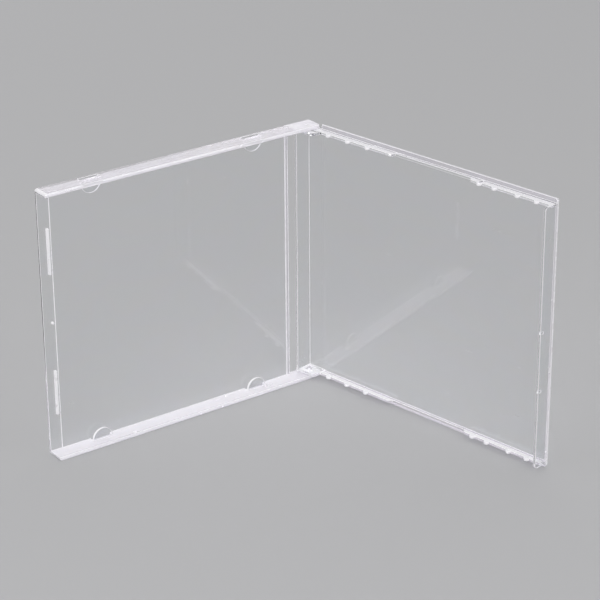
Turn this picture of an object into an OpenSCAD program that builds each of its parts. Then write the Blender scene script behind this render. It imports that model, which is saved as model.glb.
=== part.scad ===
// Clear disc case, 10.4 mm thick, standing open on its lower edge.
// Each half is one moulding. Both are drawn closed first, with X from the spine to the
// opening edge, -Y from the outer face of the back panel to the outer face of the front
// panel, and Z up the spine. The front cover is then swung open about its two pins.

/* [Case] */
// Width from the spine to the opening edge
case_width = 142; // [136:0.5:148]
// Height along the spine
case_height = 125; // [118:0.5:132]
// Thickness of the closed case
case_thickness = 10.4; // [9.8:0.1:12]
// Angle between the two panels as the case stands
opening_angle = 100; // [80:1:130]

/* [Walls] */
// Thickness of the front panel and of the back panel
panel_thickness = 1.2; // [1:0.05:1.4]
// Thickness of the front cover's long side walls and hinge arms
side_wall = 1.7; // [1.4:0.05:2]
// Thickness of the spine wall and of the opening-edge wall
end_wall = 1.2; // [1:0.05:1.5]
// Gap between a side wall of the front cover and the rail inside it
side_gap = 0.3; // [0.25:0.05:0.4]
// Gap between the rim of the side walls and the back panel
rim_gap = 0.4; // [0.2:0.05:0.6]
// Gap between the opening-edge wall and the thin margin of the front panel
edge_gap = 0.6; // [0.4:0.05:0.8]
// Chamfer along the long outer edges of both panels
edge_chamfer = 0.4; // [0.2:0.05:0.6]
// Radius of the two outer corners at the opening edge
corner_radius = 1.2; // [0.6:0.1:2]
// Radius of the two free corners of the opening-edge wall
wall_corner = 1.6; // [0.8:0.1:2.4]

/* [Hinge] */
// Distance of the pin axis from the outer face of the spine
pin_inset = 4.3; // [4.1:0.05:4.6]
// Diameter of a hinge pin
pin_diameter = 3; // [2.6:0.1:3.4]
// Running clearance round a hinge pin
pin_clearance = 0.05; // [0.03:0.01:0.08]
// Length of the pin's lead-in beyond the ear
pin_lead = 0.5; // [0.3:0.1:0.8]
// Thickness of a hinge ear
ear_thickness = 1.5; // [1.2:0.1:1.8]
// Length of a hinge ear from the spine
ear_length = 11; // [10.2:0.1:11.6]
// Height of a hinge ear below the front face of the closed case
ear_drop = 1.8; // [1.7:0.1:2.4]
// Radius of the ear's free corner
ear_radius = 2.5; // [1.5:0.1:3]
// Distance from the spine to the hinge-side edge of the front panel
arm_length = 12.4; // [12:0.1:14]
// Radius of the arm's free corner beside the spine
arm_corner = 1; // [0.8:0.1:1.6]
// Gap between the swept arm and the end of the flange
flange_gap = 0.6; // [0.4:0.1:1]

/* [Rails] */
// Thickness of the two rails
rail_thickness = 1.2; // [1:0.1:1.4]
// Height of the tall rail sections above the back panel
rail_height = 3.4; // [3:0.1:3.6]
// Height of the low rail section above the back panel
low_rail = 1.5; // [0.8:0.1:2]
// Distance from the spine to the end of the first tall section
first_rail_end = 54.5; // [47:0.5:60]
// Length of the second tall section, from the opening edge
edge_rail_length = 44.7; // [43.5:0.1:52]
// Radius of the rounded rail ends
rail_radius = 2.2; // [1:0.1:2.8]
// Diameter of the round teeth on the rails
tooth_diameter = 2.4; // [1.6:0.1:2.6]
// Distance from the spine to the first tooth
first_tooth = 16.3; // [14:0.1:17.5]
// Spacing of the teeth on the section by the spine
tooth_pitch = 11.7; // [10:0.1:12]
// Distance from the opening edge to the last tooth
last_tooth = 8.1; // [7:0.1:9]
// Spacing of the two teeth nearest the opening edge
edge_tooth_pitch = 10.1; // [9.5:0.1:10.5]
// Gap between the middle two teeth on that section
middle_tooth_gap = 12.3; // [11:0.1:12.5]
// Spacing of the two teeth furthest from the opening edge
inner_tooth_pitch = 8.2; // [7:0.1:8.5]

/* [Booklet holder] */
// Radius of the half-moon tabs
tab_radius = 4.9; // [4:0.1:5.5]
// Thickness of the tabs
tab_thickness = 1.1; // [0.9:0.05:1.2]
// Space for the booklet between a tab and the front panel
booklet_gap = 1.8; // [1.6:0.05:1.9]
// Distance from the spine to the first pair of tabs
first_tab = 33.6; // [30:0.1:40]
// Distance from the opening edge to the second pair of tabs
second_tab = 25; // [20:0.1:30]
// Width of the ridge beside the hinge-side edge of the front panel
ridge_width = 1.2; // [0.8:0.1:1.6]
// Height of that ridge
ridge_height = 0.6; // [0.3:0.05:0.8]
// Distance of the ridge from the hinge-side edge of the front panel
ridge_inset = 0.9; // [0.5:0.1:1.2]
// Length of the two stop bars at the opening edge
bar_length = 21; // [16:0.5:26]
// Width of the stop bars
bar_width = 1; // [0.8:0.1:1.4]
// Height of the stop bars above the inner face
bar_height = 0.8; // [0.5:0.05:1]
// Distance of the bars' centre line from the opening edge
bar_inset = 4.3; // [3.8:0.1:5.1]
// Distance of the bars' middle from the middle of the case
bar_spread = 33.2; // [28:0.1:38]
// Width of the thinner margin along the opening edge
margin_width = 5.8; // [5.7:0.1:7]
// Depth of the step at that margin
margin_step = 0.2; // [0.1:0.05:0.3]

/* [Catches] */
// Height of the small detent pips
pip_height = 0.15; // [0.1:0.01:0.17]
// Diameter of the detent pips
pip_diameter = 1.6; // [1.2:0.1:2]
// Distance from the opening edge to the detent pips on the side walls
pip_inset = 39.2; // [38:0.1:40.2]
// Diameter of the catch nubs on the opening-edge wall
nub_diameter = 1.3; // [1:0.1:1.6]
// Height of the catch nubs on the opening-edge wall
nub_height = 0.4; // [0.2:0.05:0.5]

/* [Hidden] */
$fn = 64;
clear_base = [0.86, 0.90, 0.92, 0.42];
clear_lid = [0.90, 0.93, 0.95, 0.42];
cut = 1;

// levels across the thickness of the closed case, from the back face
pin_level = case_thickness / 2;
front_inner = case_thickness - panel_thickness;
rim_level = panel_thickness + rim_gap;
margin_level = front_inner + margin_step;
spine_top = front_inner + margin_step;
edge_top = margin_level - edge_gap;
ear_top = case_thickness - ear_drop;
rail_top = panel_thickness + rail_height;
low_top = panel_thickness + low_rail;
tab_outer = front_inner - booklet_gap;
tab_inner = tab_outer - tab_thickness;

// levels along the spine
rail_base = side_wall + side_gap;
rail_span = case_height - 2 * rail_base;
mid_height = case_height / 2;

// places along the width
arm_joint = arm_length + ridge_inset + ridge_width / 2;
flange_start = 2 * pin_inset + flange_gap;
ridge_start = arm_length + ridge_inset;
bar_line = case_width - bar_inset;
pip_position = case_width - pip_inset;
second_rail_start = case_width - edge_rail_length;
tab_lines = [first_tab, case_width - second_tab];
hinge_teeth = [for (i = [0 : 2]) first_tooth + i * tooth_pitch];
last_place = case_width - last_tooth;
edge_teeth = [
    last_place,
    last_place - edge_tooth_pitch,
    last_place - edge_tooth_pitch - middle_tooth_gap,
    last_place - edge_tooth_pitch - middle_tooth_gap - inner_tooth_pitch
];
hole_radius = pin_diameter / 2 + pin_clearance;
pin_length = side_gap + ear_thickness;
lead_radius = pin_diameter / 2 - 0.6 * pin_lead;

// outline of the standing case, for an origin below the middle of its bounds
swing = opening_angle;
lid_corners = [
    for (u = [0, case_width])
        for (t = [rim_level, case_thickness])
            [pin_inset + (u - pin_inset) * cos(swing) - (t - pin_level) * sin(swing),
             -pin_level - (u - pin_inset) * sin(swing) - (t - pin_level) * cos(swing)]
];
x_low = min([for (p = lid_corners) p[0]]);
y_low = min([for (p = lid_corners) p[1]]);
y_high = max([for (p = lid_corners) max(p[1], 0)]);
middle = [(case_width + x_low) / 2, (y_high + y_low) / 2];

// a block given by its ranges along the width, across the thickness and along the spine
module block(width, depth, height) {
    translate([width[0], -depth[1], height[0]])
        cube([width[1] - width[0], depth[1] - depth[0], height[1] - height[0]]);
}

// a plate square to the spine, cut from an outline of width and thickness
module plate(low, thick) {
    translate([0, 0, low])
        mirror([0, 1, 0])
            linear_extrude(thick)
                children();
}

// a bar along the width, with a section of thickness and height
module bar(from, to) {
    translate([from, 0, 0])
        rotate([90, 0, 90])
            linear_extrude(to - from)
                mirror([1, 0])
                    children();
}

// a round pin square to the panels
module stud(width, height, low, high, radius) {
    translate([width, -low, height])
        rotate([90, 0, 0])
            cylinder(r = radius, h = high - low);
}

// the same feature at the foot and at the head of the case
module both_ends() {
    children();
    translate([0, 0, case_height])
        mirror([0, 0, 1])
            children();
}

// what is cut away to round an outer corner at the opening edge
module corner_cut(low, high) {
    difference() {
        block([case_width - corner_radius, case_width + cut], [low - cut, high + cut], [-cut, corner_radius]);
        stud(case_width - corner_radius, corner_radius, low - 2 * cut, high + 2 * cut, corner_radius);
    }
}

// outline of one tall rail section between two places
module rail_outline(from, to, round_from, round_to) {
    translate([from + round_from, 0])
        square([to - from - round_from - round_to, rail_top]);
    translate([from, 0])
        square([to - from, rail_top - rail_radius]);
    if (round_from > 0)
        translate([from + rail_radius, rail_top - rail_radius])
            circle(r = rail_radius);
    if (round_to > 0)
        translate([to - rail_radius, rail_top - rail_radius])
            circle(r = rail_radius);
}

// one rail: two tall sections with teeth, joined by a low section
module rail() {
    plate(rail_base, rail_thickness) {
        square([case_width, low_top]);
        rail_outline(0, first_rail_end, 0, rail_radius);
        rail_outline(second_rail_start, case_width, rail_radius, 0);
        for (u = concat(hinge_teeth, edge_teeth))
            translate([u, rail_top])
                circle(d = tooth_diameter);
    }
}

// one hinge ear beside the spine wall
module ear() {
    plate(rail_base, ear_thickness) {
        square([ear_length, ear_top - ear_radius]);
        square([ear_length - ear_radius, ear_top]);
        translate([ear_length - ear_radius, ear_top - ear_radius])
            circle(r = ear_radius);
    }
}

// back panel with its full height flanges
module back_panel() {
    difference() {
        bar(0, case_width)
            polygon([
                [edge_chamfer, 0],
                [panel_thickness, 0],
                [panel_thickness, case_height],
                [edge_chamfer, case_height],
                [0, case_height - edge_chamfer],
                [0, edge_chamfer]
            ]);
        both_ends() {
            block([-cut, flange_start], [-cut, case_thickness], [-cut, rail_base]);
            corner_cut(0, panel_thickness);
        }
    }
}

// outline of the opening-edge wall, thickness by height, with its two free corners rounded
module edge_wall_outline() {
    translate([0, rail_base])
        square([edge_top - wall_corner, rail_span]);
    translate([0, rail_base + wall_corner])
        square([edge_top, rail_span - 2 * wall_corner]);
    for (h = [rail_base + wall_corner, rail_base + rail_span - wall_corner])
        translate([edge_top - wall_corner, h])
            circle(r = wall_corner);
}

// spine wall and opening-edge wall, between the rails
module end_walls() {
    block([0, end_wall], [0, spine_top], [rail_base, rail_base + rail_span]);
    bar(case_width - end_wall, case_width)
        edge_wall_outline();
}

// catch nubs on the inner face of the opening-edge wall
module catch_nubs() {
    for (h = [mid_height + 3.5, mid_height - 24])
        translate([case_width - end_wall - nub_height, -(edge_top - 2), h])
            rotate([0, 90, 0])
                cylinder(d = nub_diameter, h = nub_height + end_wall / 2);
}

// pin hole and detent dimple at one end of the back cover
module base_cuts() {
    translate([pin_inset, -pin_level, rail_base - cut])
        cylinder(r = hole_radius, h = ear_thickness + 2 * cut);
    translate([pip_position, -(rim_level + pip_diameter / 2 + 0.2), rail_base - cut])
        cylinder(d = pip_diameter + 2 * side_gap, h = cut + 0.4);
}

// small stop pip on the outer face of an ear
module ear_pip() {
    translate([ear_length - ear_radius / 2, -(pin_level + 1), rail_base - pip_height])
        cylinder(d = pip_diameter, h = pip_height + ear_thickness / 2);
}

module base() {
    color(clear_base)
        translate([-middle[0], -middle[1], 0])
            difference() {
                union() {
                    back_panel();
                    end_walls();
                    catch_nubs();
                    both_ends() {
                        rail();
                        ear();
                        ear_pip();
                    }
                }
                both_ends()
                    base_cuts();
            }
}

// front panel and its two side walls as one channel
module front_channel() {
    difference() {
        bar(arm_length, case_width)
            polygon([
                [rim_level, 0],
                [case_thickness - edge_chamfer, 0],
                [case_thickness, edge_chamfer],
                [case_thickness, case_height - edge_chamfer],
                [case_thickness - edge_chamfer, case_height],
                [rim_level, case_height],
                [rim_level, case_height - side_wall],
                [front_inner, case_height - side_wall],
                [front_inner, side_wall],
                [rim_level, side_wall]
            ]);
        block([case_width - margin_width, case_width + cut], [front_inner - cut, margin_level],
              [side_wall, case_height - side_wall]);
        both_ends() {
            corner_cut(rim_level, case_thickness);
            for (u = tab_lines)
                block([u - tab_radius, u + tab_radius], [tab_outer, front_inner], [-cut, side_wall + cut]);
        }
    }
}

// one half-moon tab that holds the booklet
module tab(u) {
    intersection() {
        stud(u, side_wall, tab_inner, tab_outer, tab_radius);
        block([u - tab_radius - cut, u + tab_radius + cut], [tab_inner - cut, tab_outer + cut],
              [side_wall / 2, side_wall + tab_radius + cut]);
    }
}

// one hinge arm: its free corner is rounded, so that it swings clear of whatever the case lies on
module arm() {
    plate(0, side_wall) {
        translate([arm_corner, rim_level])
            square([arm_joint - arm_corner, case_thickness - rim_level]);
        translate([0, rim_level + arm_corner])
            square([arm_joint, case_thickness - rim_level - arm_corner]);
        translate([arm_corner, rim_level + arm_corner])
            circle(r = arm_corner);
    }
}

// one hinge pin with a tapered lead-in
module pin() {
    translate([pin_inset, -pin_level, side_wall / 2])
        cylinder(d = pin_diameter, h = side_wall / 2 + pin_length);
    translate([pin_inset, -pin_level, side_wall + pin_length])
        cylinder(r1 = pin_diameter / 2, r2 = lead_radius, h = pin_lead);
}

// ridge, stop bars and middle pip that keep the booklet in place
module booklet_stops() {
    block([ridge_start, ridge_start + ridge_width], [front_inner - ridge_height, front_inner + panel_thickness / 2],
          [side_wall / 2, case_height - side_wall / 2]);
    for (h = [mid_height - bar_spread, mid_height + bar_spread])
        block([bar_line - bar_width / 2, bar_line + bar_width / 2],
              [front_inner - bar_height, front_inner + panel_thickness / 2],
              [h - bar_length / 2, h + bar_length / 2]);
    stud(bar_line, mid_height, front_inner - bar_height, front_inner + panel_thickness / 2, bar_width / 2);
}

// detent pip on the inner face of a side wall
module wall_pip() {
    translate([pip_position, -(rim_level + pip_diameter / 2 + 0.2), side_wall / 2])
        cylinder(d = pip_diameter, h = side_wall / 2 + pip_height);
}

// the front cover in its closed place
module closed_lid() {
    front_channel();
    booklet_stops();
    both_ends() {
        for (u = tab_lines)
            tab(u);
        arm();
        pin();
        wall_pip();
    }
}

module lid() {
    color(clear_lid)
        translate([-middle[0], -middle[1], 0])
            translate([pin_inset, -pin_level, 0])
                rotate([0, 0, -swing])
                    translate([-pin_inset, pin_level, 0])
                        closed_lid();
}

base();
lid();
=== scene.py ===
# %% [markdown]
# # A clear disc case, stood open like a book
# The real case is two thin mouldings of clear polystyrene. The eye finds them only through their
# edges, ribs and reflections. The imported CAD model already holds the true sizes, so this lesson
# keeps its shape and works on what CAD leaves out: softened mould edges, milky walls, fine marks
# in the plastic, and a plain pale studio around it.

# %% Load the fixed frame
import bpy
import bmesh
import math
import numpy as np
from mathutils import Matrix, Vector


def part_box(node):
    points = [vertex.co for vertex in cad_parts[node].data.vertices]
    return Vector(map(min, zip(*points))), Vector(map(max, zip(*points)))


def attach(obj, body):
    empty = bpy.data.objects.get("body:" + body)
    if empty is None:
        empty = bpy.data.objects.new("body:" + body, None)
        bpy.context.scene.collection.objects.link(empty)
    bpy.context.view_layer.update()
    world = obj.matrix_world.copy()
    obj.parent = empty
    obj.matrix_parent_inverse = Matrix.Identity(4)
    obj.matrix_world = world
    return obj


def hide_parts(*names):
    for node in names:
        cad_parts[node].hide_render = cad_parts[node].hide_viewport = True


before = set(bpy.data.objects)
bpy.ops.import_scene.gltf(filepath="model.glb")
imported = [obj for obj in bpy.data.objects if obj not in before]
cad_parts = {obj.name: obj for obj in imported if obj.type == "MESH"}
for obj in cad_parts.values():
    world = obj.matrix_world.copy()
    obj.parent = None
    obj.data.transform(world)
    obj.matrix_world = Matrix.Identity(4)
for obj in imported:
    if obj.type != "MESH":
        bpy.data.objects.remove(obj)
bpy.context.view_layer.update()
MM = 0.001

# %% [markdown]
# ## The camera
# The photograph was taken from about 24 degrees above the floor, into the open angle of the case,
# with a long lens. A camera can be placed by eye, or solved for, so that the case's corners fall
# where the photograph has them. The second way was used: the place is in millimetres, with a turn
# to the left, a tilt down and a very small lean.

# %% Camera at the photograph's viewing angle
camera_place = Vector((593.743, -612.177, 459.561)) * MM
turn_left, tilt_down, lean = (math.radians(a) for a in (43.9664, 24.1709, 0.4073))
focal_pixels, picture_pixels, sensor_width = 2214.2, 600.0, 36.0


def looking(turn, tilt, roll):
    """Camera axes as a matrix: the view direction is turned from +Y towards -X and tilted down,
    then the picture's right and down directions are turned by the roll about it."""
    right = Vector((math.cos(turn), math.sin(turn), 0.0))
    ahead = Vector((-math.sin(turn) * math.cos(tilt), math.cos(turn) * math.cos(tilt), -math.sin(tilt)))
    down = ahead.cross(right)
    across = right * math.cos(roll) + down * math.sin(roll)
    along = down * math.cos(roll) - right * math.sin(roll)
    return Matrix((across, -along, -ahead)).transposed().to_4x4()


camera_data = bpy.data.cameras.new("camera")
camera = bpy.data.objects.new("camera", camera_data)
bpy.context.scene.collection.objects.link(camera)
camera.matrix_world = Matrix.Translation(camera_place) @ looking(turn_left, tilt_down, lean)
camera_data.sensor_width = sensor_width
camera_data.lens = focal_pixels / picture_pixels * sensor_width
camera_data.clip_start, camera_data.clip_end = 0.01, 20.0
bpy.context.scene.camera = camera
print("lens in mm", round(camera_data.lens, 2))

# %% [markdown]
# ## Softened mould edges
# No moulded edge is a knife edge: the tool is cut with a small radius, and polishing rounds it more.
# On clear plastic that radius matters more than on any other material, because each rounded edge
# gathers the light into a bright line. The CAD copy is merged, its flat triangles are joined into
# whole faces, and every edge sharper than 30 degrees gets a radius. The new edge faces are marked
# as they are made, because they are later painted white, a painted highlight for that bright line.

# %% Copies of the mouldings with rounded edges
EDGE_RADIUS = 0.15 * MM


def rounded_copy(node_name, piece_name, parting, radius=EDGE_RADIUS):
    """A CAD node's mesh, merged, with its flat triangles joined and its sharp edges rounded.
    Each parting is a plane, a point in millimetres and a direction, that splits the faces which
    cross it. The attribute softened_edge is 1 on the new edge faces. Where three roundings meet, a
    point can land microns outside, so every point is held between the node's lowest and highest
    corners."""
    work = bmesh.new()
    work.from_mesh(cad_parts[node_name].data)
    bmesh.ops.remove_doubles(work, verts=work.verts, dist=1e-6)
    bmesh.ops.dissolve_limit(work, angle_limit=math.radians(1.0), verts=work.verts, edges=work.edges)
    for point, direction in parting:
        bmesh.ops.bisect_plane(work, geom=[*work.verts, *work.edges, *work.faces], dist=1e-6,
                               plane_co=Vector(point) * MM, plane_no=Vector(direction))
    edge_layer = work.faces.layers.int.new("softened_edge")
    sharp = [e for e in work.edges if e.is_manifold and e.calc_face_angle() > math.radians(30)]
    made = bmesh.ops.bevel(work, geom=sharp, offset=radius, offset_type="OFFSET", segments=2,
                           profile=0.5, affect="EDGES", clamp_overlap=False)
    for face in work.faces:
        face.smooth = True
    for face in made["faces"]:
        face[edge_layer] = 1
    bmesh.ops.dissolve_degenerate(work, dist=1e-6, edges=work.edges)
    mesh = bpy.data.meshes.new(piece_name)
    work.to_mesh(mesh)
    open_edges = sum(1 for e in work.edges if not e.is_manifold)
    work.free()
    points = np.empty(len(mesh.vertices) * 3)
    mesh.vertices.foreach_get("co", points)
    lowest, highest = (np.array(corner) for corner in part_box(node_name))
    mesh.vertices.foreach_set("co", np.clip(points.reshape(-1, 3), lowest, highest).ravel())
    piece = bpy.data.objects.new(piece_name, mesh)
    bpy.context.scene.collection.objects.link(piece)
    print(piece_name, "faces", len(mesh.polygons), "edges rounded", len(sharp), "open edges", open_edges)
    return piece


def flatten_normals(piece):
    """Weights each corner's normal by face area, so that the large faces stay optically flat."""
    piece.modifiers.new("large faces stay flat", "WEIGHTED_NORMAL").keep_sharp = True
    settled = bpy.data.meshes.new_from_object(
        piece.evaluated_get(bpy.context.evaluated_depsgraph_get()))
    piece.modifiers.clear()
    piece.data = settled
    settled.name = piece.name
    return piece


STANDS_OPEN = math.radians(100.0)
PIVOT_ROW = np.array([-54.334, 65.517])  # the hinge line in the row frame, in millimetres
PIVOT_CLOSED = np.array([4.3, 5.2])  # the hinge line across and through the closed case
ARM_END = 12.9  # across: where an arm meets its wall
PANEL_DEPTH, RIM_DEPTH = 1.2, 2.3  # through: the panel's inner face, and the end of its rim
lid_across = (math.cos(STANDS_OPEN), -math.sin(STANDS_OPEN), 0.0)
arm_end = (*(PIVOT_ROW + (ARM_END - PIVOT_CLOSED[0]) * np.array(lid_across[:2])), 0.0)
outer_face = PIVOT_ROW[1] + PIVOT_CLOSED[1]
panel_edges = [((0.0, outer_face - depth, 0.0), (0.0, 1.0, 0.0)) for depth in (PANEL_DEPTH, RIM_DEPTH)]
back_cover = flatten_normals(rounded_copy("base", "back_cover_moulding", panel_edges))
front_cover = flatten_normals(rounded_copy("lid", "front_cover_moulding", [(arm_end, lid_across)]))

# %% [markdown]
# ## Which finish goes where
# The case is one plastic all over, yet it doesn't look it. The large panels, the spine and the back
# cover's upper rail are polished like lenses, so that a printed card behind them can be read. The
# narrow side walls and the lower rail are painted milky: a paler, less clear colour that is painted
# light, for the brightness the light gives them (the lower rail picks it up from the table). The hinge
# arms, the outer rims and the wall that the case stands on are frosted: fine scuffs, and a painted
# pale brightness as well. Rounded edges, tab rims, card teeth, stop bars and the ends of the tab
# windows are painted white, a painted highlight for the light that these parts of the clear plastic
# catch. Painting a mask by hand would do it, but a rule is exact and follows the moulding: each face
# is sorted by its middle point in the closed case, in millimetres, across from the hinge side,
# through the thickness, and up.

# %% Faces in closed-case millimetres
MIDDLE_HEIGHT = 62.5  # up: halfway between the two long edges
STANDING = 6.0  # up: below this is the part that the case stands on
OPENING_EDGE = 141.9  # across: beyond this is the outer face at the opening edge
FRONT_WALLS = 60.5  # from the middle height: beyond this are the front cover's side walls


def face_table(piece, opened):
    """For every face: across, through and up of its middle, and how squarely it faces through the
    case. The piece's points are turned back about the hinge line by the angle it stands open:
    across = x cos a - y sin a, through = -(x sin a + y cos a), each from the hinge line."""
    count = len(piece.data.polygons)
    middle, normal = np.empty(count * 3), np.empty(count * 3)
    piece.data.polygons.foreach_get("center", middle)
    piece.data.polygons.foreach_get("normal", normal)
    middle, normal = middle.reshape(-1, 3) / MM, normal.reshape(-1, 3)
    flat = middle[:, :2] - PIVOT_ROW
    across = flat[:, 0] * math.cos(opened) - flat[:, 1] * math.sin(opened) + PIVOT_CLOSED[0]
    through = PIVOT_CLOSED[1] - flat[:, 0] * math.sin(opened) - flat[:, 1] * math.cos(opened)
    facing = np.abs(normal[:, 0] * math.sin(opened) + normal[:, 1] * math.cos(opened))
    rounded = np.empty(count, np.int32)
    piece.data.attributes["softened_edge"].data.foreach_get("value", rounded)
    return across, through, middle[:, 2], facing, rounded == 1


print("hinge line in the closed case", PIVOT_CLOSED.tolist(), "middle height", MIDDLE_HEIGHT)

# %% Sorting the faces into four finishes
# Only the polished finish is clear plastic alone; the other three finishes carry painted light.
POLISHED, PAINTED_MILKY, SCUFFED_PAINTED_PALE, PAINTED_HIGHLIGHT = 0, 1, 2, 3
across, through, up, facing, rounded = face_table(back_cover, 0.0)
from_middle = np.abs(up - MIDDLE_HEIGHT)
back_finish = np.full(len(up), POLISHED)
# Painted light: the lower rail and the rails' sides get the milky colour, paler where the lower rail picks
# up light from the table and the walls catch it.
low_rail = (up < STANDING) & (across > 9.5) & (through > 1.25)
rail_sides = (from_middle > 60.9) & (through > 1.1)
back_finish[low_rail | rail_sides] = PAINTED_MILKY
# The long edges and the rim at the opening edge are frosted: partly scuffed plastic, partly painted pale
# brightness.
long_edges = from_middle > 62.0
end_rim = (across > OPENING_EDGE) & (through < RIM_DEPTH)
back_finish[long_edges | end_rim] = SCUFFED_PAINTED_PALE
# Painted highlight: card teeth, the panel's end at the opening edge and every rounded edge are painted
# white, for the light that clear plastic catches there.
on_tooth = (from_middle > 58.0) & (through > 4.65) & (through < 6.5)
on_tooth &= (across > 14.0) & (across < 140.0)
panel_end = (across > OPENING_EDGE) & (through < PANEL_DEPTH)
back_finish[on_tooth | panel_end | rounded] = PAINTED_HIGHLIGHT
print("back cover reaches", across.max().round(2), through.max().round(2), up.max().round(2))

across, through, up, facing, rounded = face_table(front_cover, STANDS_OPEN)
from_middle = np.abs(up - MIDDLE_HEIGHT)
front_finish = np.full(len(up), POLISHED)
# Painted light: the front cover's side walls and its ridge are painted milky, paler than clear plastic, for
# the brightness light gives them.
in_wall = from_middle > FRONT_WALLS
front_finish[in_wall] = PAINTED_MILKY
in_ridge = (np.abs(across - 13.9) < 0.9) & (through < 9.1)
front_finish[in_ridge] = PAINTED_MILKY
# The rims, hinge arms and standing wall are frosted: fine scuffs, and painted pale brightness as well.
on_rim = in_wall & (through < 2.5) & (facing > 0.9)
on_arm = in_wall & (across < ARM_END)
front_finish[on_rim | on_arm | (in_wall & (up < STANDING))] = SCUFFED_PAINTED_PALE

# Painted highlight: tab rims, the stop bar, window ends, the pip, the wall's end and rounded edges are
# painted white.
on_tab = (from_middle > 55.0) & (from_middle < 61.0) & (through > 6.2) & (through < 7.5)
on_tab &= (across > 14.0) & (facing < 0.5)
in_bar = (np.abs(across - 137.7) < 0.9) & (through < 9.3) & (from_middle < 50.0)
window_ends = np.min(np.abs(across[:, None] - [28.7, 38.5, 112.1, 121.9]), axis=1) < 0.2
window_ends &= in_wall & (through > 7.2) & (through < 9.3)
on_pip = (np.abs(across - 102.8) < 0.95) & (through < 4.0)
on_pip &= (from_middle > 58.0) & (from_middle < 62.0)
wall_end = in_wall & (across > 139.8)
front_finish[on_tab | in_bar | window_ends | on_pip | wall_end | rounded] = PAINTED_HIGHLIGHT
print("front cover reaches", across.max().round(2), through.max().round(2), up.max().round(2))

# %% [markdown]
# ## Building blocks for the plastic
# Fine effects are made once, as node groups, and then placed in each material with their own
# values. A scratch is a long thin mark, so it is noise stretched a hundredfold one way and cut off
# high. Dust is a scatter of tiny spots. Moulding flow is a slow ripple left where melted plastic
# spread through the tool, and the same strain tints clear polystyrene with faint rainbow bands.
# Grain is the satin of a tool that was stoned rather than polished. They all take a place on the
# piece in metres, and give out masks, heights or colours that change over the surface.

# %% Node group helpers
def start_group(name, inputs, outputs):
    """A shader node group with named sockets: inputs and outputs are (kind, name, value) rows."""
    group = bpy.data.node_groups.new(name, "ShaderNodeTree")
    for kind, label, value in inputs:
        socket = group.interface.new_socket(name=label, in_out="INPUT", socket_type="NodeSocket" + kind)
        if value is not None:
            socket.default_value = value
    for kind, label in outputs:
        group.interface.new_socket(name=label, in_out="OUTPUT", socket_type="NodeSocket" + kind)
    return group, group.nodes.new("NodeGroupInput"), group.nodes.new("NodeGroupOutput")


def put(tree, kind, settings=(), values=()):
    """A node of that kind with its settings, and with values in its input sockets. A value that is
    a socket is linked instead."""
    node = tree.nodes.new("ShaderNode" + kind)
    for key, value in dict(settings).items():
        setattr(node, key, value)
    for key, value in dict(values).items():
        if isinstance(value, bpy.types.NodeSocket):
            tree.links.new(value, node.inputs[key])
        else:
            node.inputs[key].default_value = value
    return node


def maths(tree, operation, a, b=0.0):
    """One arithmetic step: a sum, product, power or similar of two numbers or sockets."""
    return put(tree, "Math", {"operation": operation}, {0: a, 1: b}).outputs[0]


def remap(tree, value, low, high, to_low=0.0, to_high=1.0):
    """A smooth step: low and below gives to_low, high and above gives to_high."""
    return put(tree, "MapRange", {"interpolation_type": "SMOOTHSTEP"},
               {"Value": value, "From Min": low, "From Max": high, "To Min": to_low,
                "To Max": to_high}).outputs["Result"]


# %% Hairline scratches
def hairline_group():
    """Marks = the highest crests of noise stretched along three directions in the panel's plane,
    broken up by a slow noise so that each scratch starts and ends."""
    group, get, give = start_group(
        "hairline_scratches",
        [("Vector", "Place", None), ("Float", "Fineness", 1.0), ("Float", "Amount", 0.5)],
        [("Float", "Mask")])
    total = None
    for angle, along, cross in ((0.35, 26.0, 2600.0), (-0.9, 34.0, 3400.0), (1.35, 18.0, 2100.0)):
        turned = put(group, "Mapping", {"vector_type": "POINT"},
                     {"Vector": get.outputs["Place"], "Rotation": (0.0, angle, 0.0),
                      "Scale": (along, 60.0, cross)})
        fine = put(group, "VectorMath", {"operation": "SCALE"},
                   {0: turned.outputs[0], "Scale": get.outputs["Fineness"]})
        streak = put(group, "TexNoise", {}, {"Vector": fine.outputs[0], "Scale": 1.0, "Detail": 1.0})
        breaks = put(group, "TexNoise", {},
                     {"Vector": get.outputs["Place"], "Scale": 55.0 + 9.0 * angle, "Detail": 2.0})
        crest = remap(group, streak.outputs["Fac"], 0.70, 0.78)
        kept = maths(group, "MULTIPLY", crest, remap(group, breaks.outputs["Fac"], 0.50, 0.62))
        total = kept if total is None else maths(group, "MAXIMUM", total, kept)
    group.links.new(maths(group, "MULTIPLY", total, get.outputs["Amount"]), give.inputs["Mask"])
    return group


hairlines = hairline_group()
print(hairlines.name, "nodes", len(hairlines.nodes))

# %% Dust specks
def dust_group():
    """Specks = places nearer to a scattered point than its own small radius, in cells whose random
    number is high, so that most cells stay clean."""
    group, get, give = start_group(
        "dust_specks", [("Vector", "Place", None), ("Float", "Spacing", 9.0), ("Float", "Speck Size", 0.2)],
        [("Float", "Mask")])
    cells = maths(group, "DIVIDE", 1000.0, get.outputs["Spacing"])
    spots = put(group, "TexVoronoi", {"feature": "F1"}, {"Vector": get.outputs["Place"], "Scale": cells})
    chance = put(group, "SeparateColor", {}, {"Color": spots.outputs["Color"]}).outputs["Red"]
    share = maths(group, "DIVIDE", get.outputs["Speck Size"], get.outputs["Spacing"])
    radius = maths(group, "MULTIPLY", maths(group, "MULTIPLY", share, 0.5), remap(group, chance, 0.55, 1.0))
    inside = maths(group, "LESS_THAN", spots.outputs["Distance"], radius)
    group.links.new(inside, give.inputs["Mask"])
    return group


dust = dust_group()
print(dust.name, "nodes", len(dust.nodes))

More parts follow.
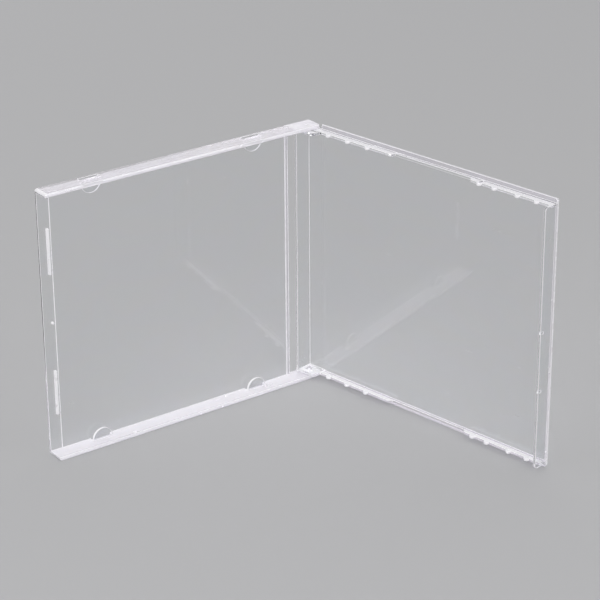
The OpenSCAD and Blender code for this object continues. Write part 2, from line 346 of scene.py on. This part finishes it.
# %% Flow ripple and strain colours
def flow_group():
    """Ripple = slow noise over places that are squeezed along the flow. Tint = a ring of pale
    spectrum colours, read at the ripple's height, as strained plastic shows them."""
    group, get, give = start_group(
        "moulding_flow", [("Vector", "Place", None), ("Float", "Band Width", 14.0), ("Float", "Tint", 0.03)],
        [("Float", "Height"), ("Color", "Colour")])
    squeezed = put(group, "Mapping", {"vector_type": "POINT"},
                   {"Vector": get.outputs["Place"], "Scale": (0.45, 1.0, 1.0)})
    rate = maths(group, "DIVIDE", 1000.0, get.outputs["Band Width"])
    slow = put(group, "TexNoise", {},
               {"Vector": squeezed.outputs[0], "Scale": rate, "Detail": 2.0, "Distortion": 0.6})
    band = maths(group, "FRACT", maths(group, "MULTIPLY", slow.outputs["Fac"], 4.0))
    ramp = put(group, "ValToRGB", {}, {"Fac": band})
    stops = ((0.0, (0.92, 0.86, 1.0)), (0.25, (0.80, 0.93, 1.0)), (0.5, (0.88, 1.0, 0.86)),
             (0.75, (1.0, 0.95, 0.78)), (1.0, (0.92, 0.86, 1.0)))
    while len(ramp.color_ramp.elements) < len(stops):
        ramp.color_ramp.elements.new(0.5)
    for element, (position, colour) in zip(ramp.color_ramp.elements, stops):
        element.position, element.color = position, (*colour, 1.0)
    tinted = put(group, "Mix", {"data_type": "RGBA"},
                 {"Factor": get.outputs["Tint"], "A": (1.0, 1.0, 1.0, 1.0), "B": ramp.outputs["Color"]})
    group.links.new(slow.outputs["Fac"], give.inputs["Height"])
    group.links.new(tinted.outputs["Result"], give.inputs["Colour"])
    return group


flow = flow_group()
print(flow.name, "nodes", len(flow.nodes))

# %% Satin grain of the steel
def grain_group():
    """Grain = fine noise for the satin, mixed with a coarser patchiness."""
    group, get, give = start_group(
        "steel_grain", [("Vector", "Place", None), ("Float", "Grain Size", 0.25)],
        [("Float", "Height"), ("Float", "Patches")])
    rate = maths(group, "DIVIDE", 1000.0, get.outputs["Grain Size"])
    fine = put(group, "TexNoise", {}, {"Vector": get.outputs["Place"], "Scale": rate, "Detail": 2.0})
    patch = put(group, "TexNoise", {}, {"Vector": get.outputs["Place"], "Scale": 160.0, "Detail": 3.0})
    group.links.new(fine.outputs["Fac"], give.inputs["Height"])
    group.links.new(patch.outputs["Fac"], give.inputs["Patches"])
    return group


grain = grain_group()
print("node groups", [g.name for g in bpy.data.node_groups])

# %% [markdown]
# ## Clear polystyrene in four finishes, three of them with painted light
# Crystal polystyrene bends light strongly (index 1.59) and is almost colourless, with a cool cast.
# The shader is one Principled BSDF with transmission. Its index and weights are plain numbers, and
# only colour, roughness and bump change over the surface. From polished to white the transmission
# falls and the roughness grows. The paler, less clear colour of the milky, frosted and white
# finishes is painted light: it stands for the light that scuffs, grain and small radii scatter, and
# the white one is a painted highlight. A clear shader alone would leave those edges as dark as what
# is behind them. A lamp's light would cast a hard black shadow behind such a shader, so shadow rays
# see a tinted transparent surface instead: the floor keeps a soft pale shadow, as under the real thing.

# %% The plastic
def polystyrene(name, turn, tip, clear, colour, roughness, wear, shadow, bump, tint):
    """One finish of the plastic. The turn lays the piece's panel in the plane that the scratch
    pattern is drawn in, and the tip then does the same for the walls, which stand square to it.
    Wear is how much rougher scratches and dust are than the clean surface. Bump holds three heights
    in metres: of the grain, of the flow ripple and of a scratch, which goes down."""
    material = bpy.data.materials.new(name)
    material.use_nodes = True
    tree = material.node_tree
    tree.nodes.clear()
    place = put(tree, "TexCoord").outputs["Object"]
    turned = put(tree, "Mapping", {"vector_type": "POINT"},
                 {"Vector": place, "Rotation": (0.0, 0.0, turn)}).outputs[0]
    laid = put(tree, "Mapping", {"vector_type": "POINT"},
               {"Vector": turned, "Rotation": (tip, 0.0, 0.0)}).outputs[0]

    def use(group, **values):
        """A group placed in this material, with its inputs set by name."""
        node = put(tree, "Group", {"node_tree": group}, {"Place": laid})
        for label, value in values.items():
            node.inputs[label.replace("_", " ")].default_value = value
        return node

    lines, specks = use(hairlines, Amount=1.0), use(dust)
    ripple, satin = use(flow, Tint=tint), use(grain)
    marks = maths(tree, "MAXIMUM", lines.outputs["Mask"], specks.outputs["Mask"])
    uneven = remap(tree, satin.outputs["Patches"], 0.35, 0.7, roughness * 0.7, roughness * 1.4)
    rough = maths(tree, "ADD", uneven, maths(tree, "MULTIPLY", marks, wear))
    relief = maths(tree, "ADD", maths(tree, "MULTIPLY", satin.outputs["Height"], bump[0]),
                   maths(tree, "MULTIPLY", ripple.outputs["Height"], bump[1]))
    relief = maths(tree, "SUBTRACT", relief, maths(tree, "MULTIPLY", lines.outputs["Mask"], bump[2]))
    normal = put(tree, "Bump", {}, {"Height": relief, "Distance": 1.0, "Strength": 1.0})
    cast = put(tree, "Mix", {"data_type": "RGBA", "blend_type": "MULTIPLY"},
               {"Factor": 1.0, "A": (*colour, 1.0), "B": ripple.outputs["Colour"]})
    shader = put(tree, "BsdfPrincipled", {}, {
        "Base Color": cast.outputs["Result"], "Roughness": rough, "Normal": normal.outputs[0],
        "Transmission Weight": clear, "IOR": 1.59})
    lets_lamps_through = put(tree, "BsdfTransparent", {}, {"Color": (*shadow, 1.0)})
    path = put(tree, "LightPath")
    either = put(tree, "MixShader", {}, {0: path.outputs["Is Shadow Ray"], 1: shader.outputs[0],
                                         2: lets_lamps_through.outputs[0]})
    out = put(tree, "OutputMaterial")
    tree.links.new(either.outputs[0], out.inputs["Surface"])
    return material


SQUARE_ON = math.radians(90.0)
# Milky, frosted and white trade clearness for a pale colour: painted light, with white a painted highlight
# and frosted also standing for scuffs.
FINISHES = {
    "polished": dict(tip=0.0, clear=1.0, colour=(0.98, 0.985, 0.995), roughness=0.02, wear=0.25,
                     shadow=(0.93, 0.93, 0.94), bump=(0.0, 0.00002, 0.000001), tint=0.06),
    "milky_painted_light": dict(tip=SQUARE_ON, clear=0.75, colour=(0.86, 0.825, 0.89), roughness=0.12, wear=0.2,
                  shadow=(0.86, 0.86, 0.88), bump=(0.000004, 0.00002, 0.000001), tint=0.08),
    "frosted_painted_pale": dict(tip=SQUARE_ON, clear=0.35, colour=(0.945, 0.925, 0.975), roughness=0.2, wear=0.15,
                    shadow=(0.8, 0.8, 0.82), bump=(0.000004, 0.00001, 0.0), tint=0.04),
    "white_painted_highlight": dict(tip=SQUARE_ON, clear=0.1, colour=(0.955, 0.945, 0.975), roughness=0.35, wear=0.1,
                  shadow=(0.76, 0.76, 0.78), bump=(0.000006, 0.0, 0.0), tint=0.02),
}


def finishes(prefix, turn):
    """The four finishes of one cover, in the order of their numbers."""
    return [polystyrene(prefix + "_" + name, turn, **values) for name, values in FINISHES.items()]


print("finishes", list(FINISHES))

# %% Dressing both covers
for piece, finish, turn, body, slot in ((back_cover, back_finish, 0.0, "base", "back_cover"),
                                        (front_cover, front_finish, STANDS_OPEN, "lid", "front_cover")):
    piece.data.materials.clear()
    for material in finishes(slot, turn):
        piece.data.materials.append(material)
    piece.data.polygons.foreach_set("material_index", finish.astype(np.int32))
    piece.data.update()
    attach(piece, body)
    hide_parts(body)
    print(piece.name, "faces in each finish", np.bincount(finish, minlength=4).tolist())

# %% [markdown]
# ## The floor
# A clear case is seen by its white edges, so the floor is a plain mid-pale grey, a little darker
# than those edges, or they would vanish. A backdrop could curve up behind the case, but its bend
# would show through the clear panels, so the sheet is a grid that lies flat.

# %% A pale card floor
def flat_sheet(name, half, count, height):
    """A square grid: x and y run evenly from -half to half, and z is the height everywhere."""
    line = np.linspace(-half, half, count)
    x, y = np.meshgrid(line, line)
    points = np.stack([x, y, np.full_like(x, height)], axis=-1).reshape(-1, 3)
    corner = (np.arange(count - 1)[:, None] * count + np.arange(count - 1)).ravel()
    quads = np.stack([corner, corner + 1, corner + count + 1, corner + count], axis=1)
    mesh = bpy.data.meshes.new(name)
    mesh.from_pydata(points.tolist(), [], quads.tolist())
    sheet = bpy.data.objects.new(name, mesh)
    bpy.context.scene.collection.objects.link(sheet)
    return sheet


floor = flat_sheet("floor", 6.0, 13, -0.0002)
card = bpy.data.materials.new("pale_card")
card.use_nodes = True
card.node_tree.nodes.clear()
fibres = put(card.node_tree, "TexNoise", {}, {
    "Vector": put(card.node_tree, "TexCoord").outputs["Object"], "Scale": 900.0, "Detail": 3.0})
card_shader = put(card.node_tree, "BsdfPrincipled", {}, {
    "Base Color": (0.5, 0.5, 0.51, 1.0), "Specular IOR Level": 0.2,
    "Roughness": remap(card.node_tree, fibres.outputs["Fac"], 0.3, 0.7, 0.75, 0.85)})
card_out = put(card.node_tree, "OutputMaterial")
card.node_tree.links.new(card_shader.outputs[0], card_out.inputs["Surface"])
floor.data.materials.append(card)

# %% [markdown]
# ## Soft studio light
# Clear things are lit by what they reflect. A softbox low behind and to the left stands at the
# mirror angle of the front cover's top wall and turns it into a pale band, which is what the
# photograph shows. A very large soft key at the camera's right, about a third of the way up,
# lights the edges, teeth and arms, and an even pale room fills in. A smaller, stronger key was
# tried: it clipped the walls to white and sprinkled stray dots through the facets.

# %% Lamps and room
def softbox(name, place, target, size, watts):
    """A rectangular area lamp that looks from its place to its target, both in metres."""
    data = bpy.data.lights.new(name, "AREA")
    data.shape = "RECTANGLE"
    data.size, data.size_y = size
    data.energy = watts
    lamp = bpy.data.objects.new(name, data)
    lamp.location = place
    lamp.rotation_euler = (Vector(target) - Vector(place)).to_track_quat("-Z", "Y").to_euler()
    bpy.context.scene.collection.objects.link(lamp)
    print(name, "radiance", round(watts / (math.pi * size[0] * size[1]), 2))
    return lamp


softbox("back_softbox", (-1.41, 0.74, 0.74), (0, 0, 0.06), (1.1, 0.6), 1.9)
softbox("key_softbox", (1.5, -1.9, 1.7), (0, 0, 0.05), (2.6, 2.6), 54.0)

room = bpy.data.worlds.new("pale_room")
bpy.context.scene.world = room
room.use_nodes = True
room.node_tree.nodes.clear()
room_light = put(room.node_tree, "Background", {}, {"Color": (1.0, 1.0, 1.0, 1.0), "Strength": 0.6})
room_seen = put(room.node_tree, "Background", {}, {"Color": (1.0, 1.0, 1.0, 1.0), "Strength": 0.65})
rays = put(room.node_tree, "LightPath")
seen = maths(room.node_tree, "MAXIMUM", rays.outputs["Is Camera Ray"],
             maths(room.node_tree, "MAXIMUM", rays.outputs["Is Glossy Ray"],
                   rays.outputs["Is Transmission Ray"]))
room_mix = put(room.node_tree, "MixShader", {}, {0: seen, 1: room_light.outputs[0], 2: room_seen.outputs[0]})
room_out = put(room.node_tree, "OutputWorld")
room.node_tree.links.new(room_mix.outputs[0], room_out.inputs["Surface"])
bpy.context.scene.view_settings.view_transform = "Standard"

# %% [markdown]
# ## Long light paths
# Light that enters the end of a thin clear panel bounces between its faces many times before it
# leaves, and a short limit would show that as black edges. The limits are raised to suit. A lamp
# that is found by chance through many facets leaves a stray white dot, so one bounce's share of
# the picture is capped.

# %% Enough bounces for clear plastic
paths = bpy.context.scene.cycles
paths.max_bounces = paths.transmission_bounces = paths.glossy_bounces = 64
paths.sample_clamp_indirect = 3.0
